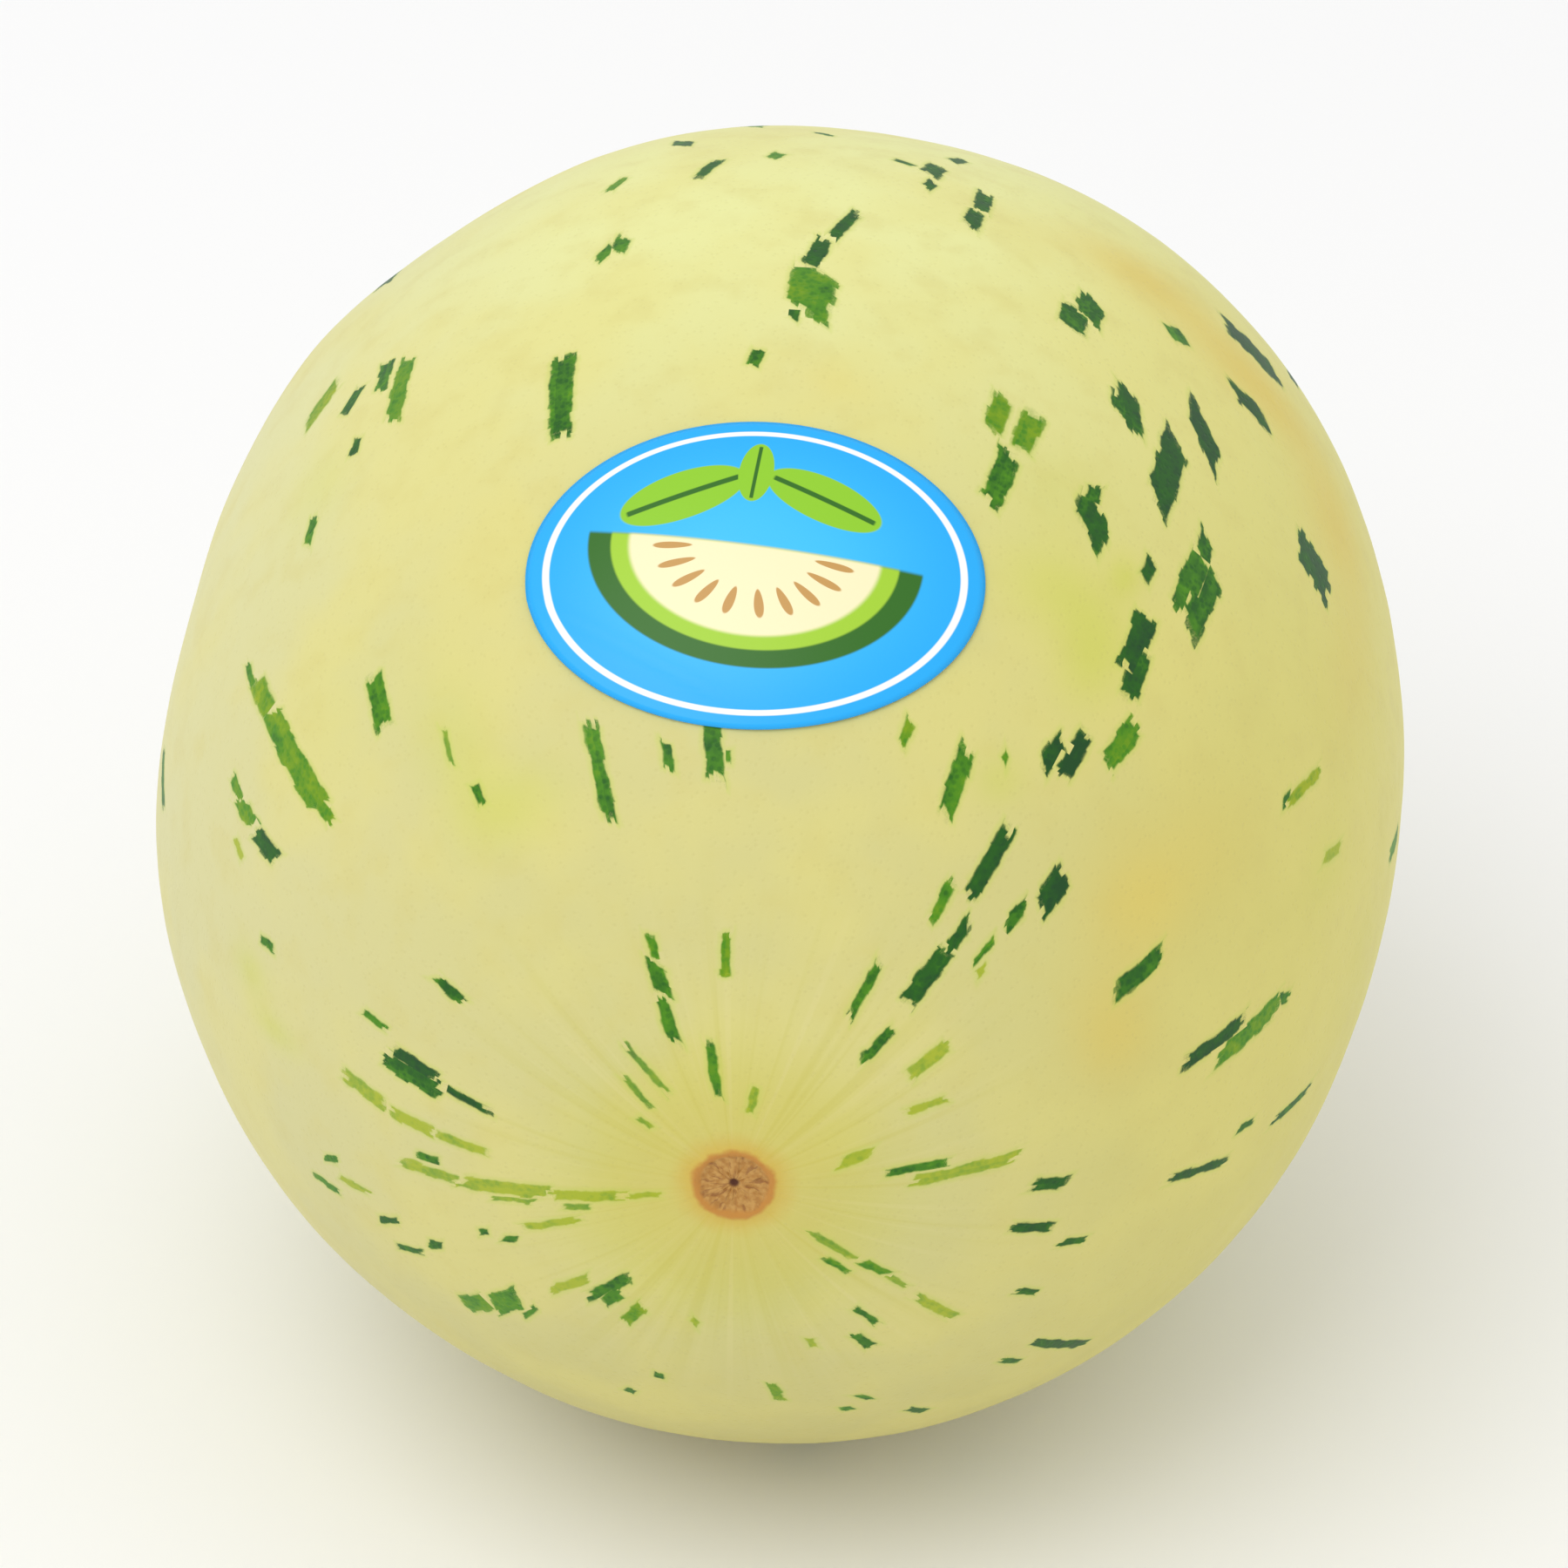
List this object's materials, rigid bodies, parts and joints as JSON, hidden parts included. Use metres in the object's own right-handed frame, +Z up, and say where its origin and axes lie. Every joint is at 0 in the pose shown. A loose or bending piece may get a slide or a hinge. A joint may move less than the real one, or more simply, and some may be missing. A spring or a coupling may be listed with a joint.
{
  "type": "melon",
  "caption": "Small oval melon with a smooth pale rind and green flecks, lying on its side on a small flat spot, with a dried stem stub and an oval paper label.",
  "frame": {"origin": "on the small flat spot on the underside that the fruit rests on, straight below the fruit's centre", "axes": "+Z up; the fruit's own axis along Y, with the blossom end and its scar towards -Y and the stem end towards +Y; +X to the right when looking at the blossom end"},
  "size_m": [0.1401, 0.1617, 0.139],
  "materials": {
    "rind": "satin",
    "dried_stem": "matte",
    "label_paper": "satin"
  },
  "bodies": {
    "root": {"melon_fruit": "rind", "stem_stub": "dried_stem", "oval_label": "label_paper"}
  },
  "joints": []
}
